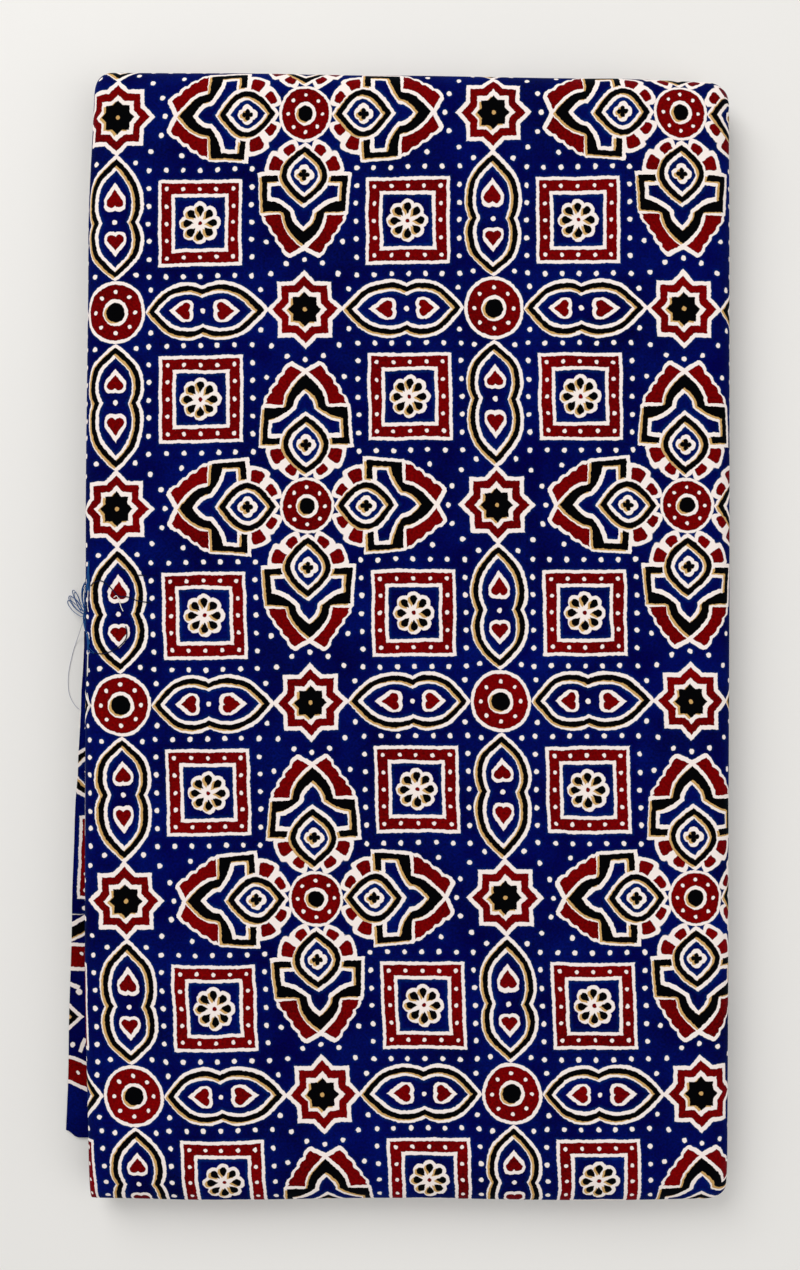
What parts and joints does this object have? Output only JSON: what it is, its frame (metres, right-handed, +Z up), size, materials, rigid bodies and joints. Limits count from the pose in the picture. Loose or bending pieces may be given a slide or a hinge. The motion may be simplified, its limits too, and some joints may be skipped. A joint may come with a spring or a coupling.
{
  "type": "folded muslin saree",
  "caption": "Folded block-printed cotton muslin saree: one long soft cloth, folded lengthwise and then back and forth into a flat bundle with rolled edges",
  "frame": {"origin": "on the surface the bundle rests on, under the middle of its bounding box", "axes": "+X to the right across the bundle, +Y along its long side to the far fold, +Z up through the layers"},
  "size_m": [0.3052, 0.514, 0.0246],
  "materials": {
    "printed_muslin": "matte block-printed cotton muslin"
  },
  "bodies": {
    "root": {"saree": "printed_muslin"}
  },
  "joints": []
}
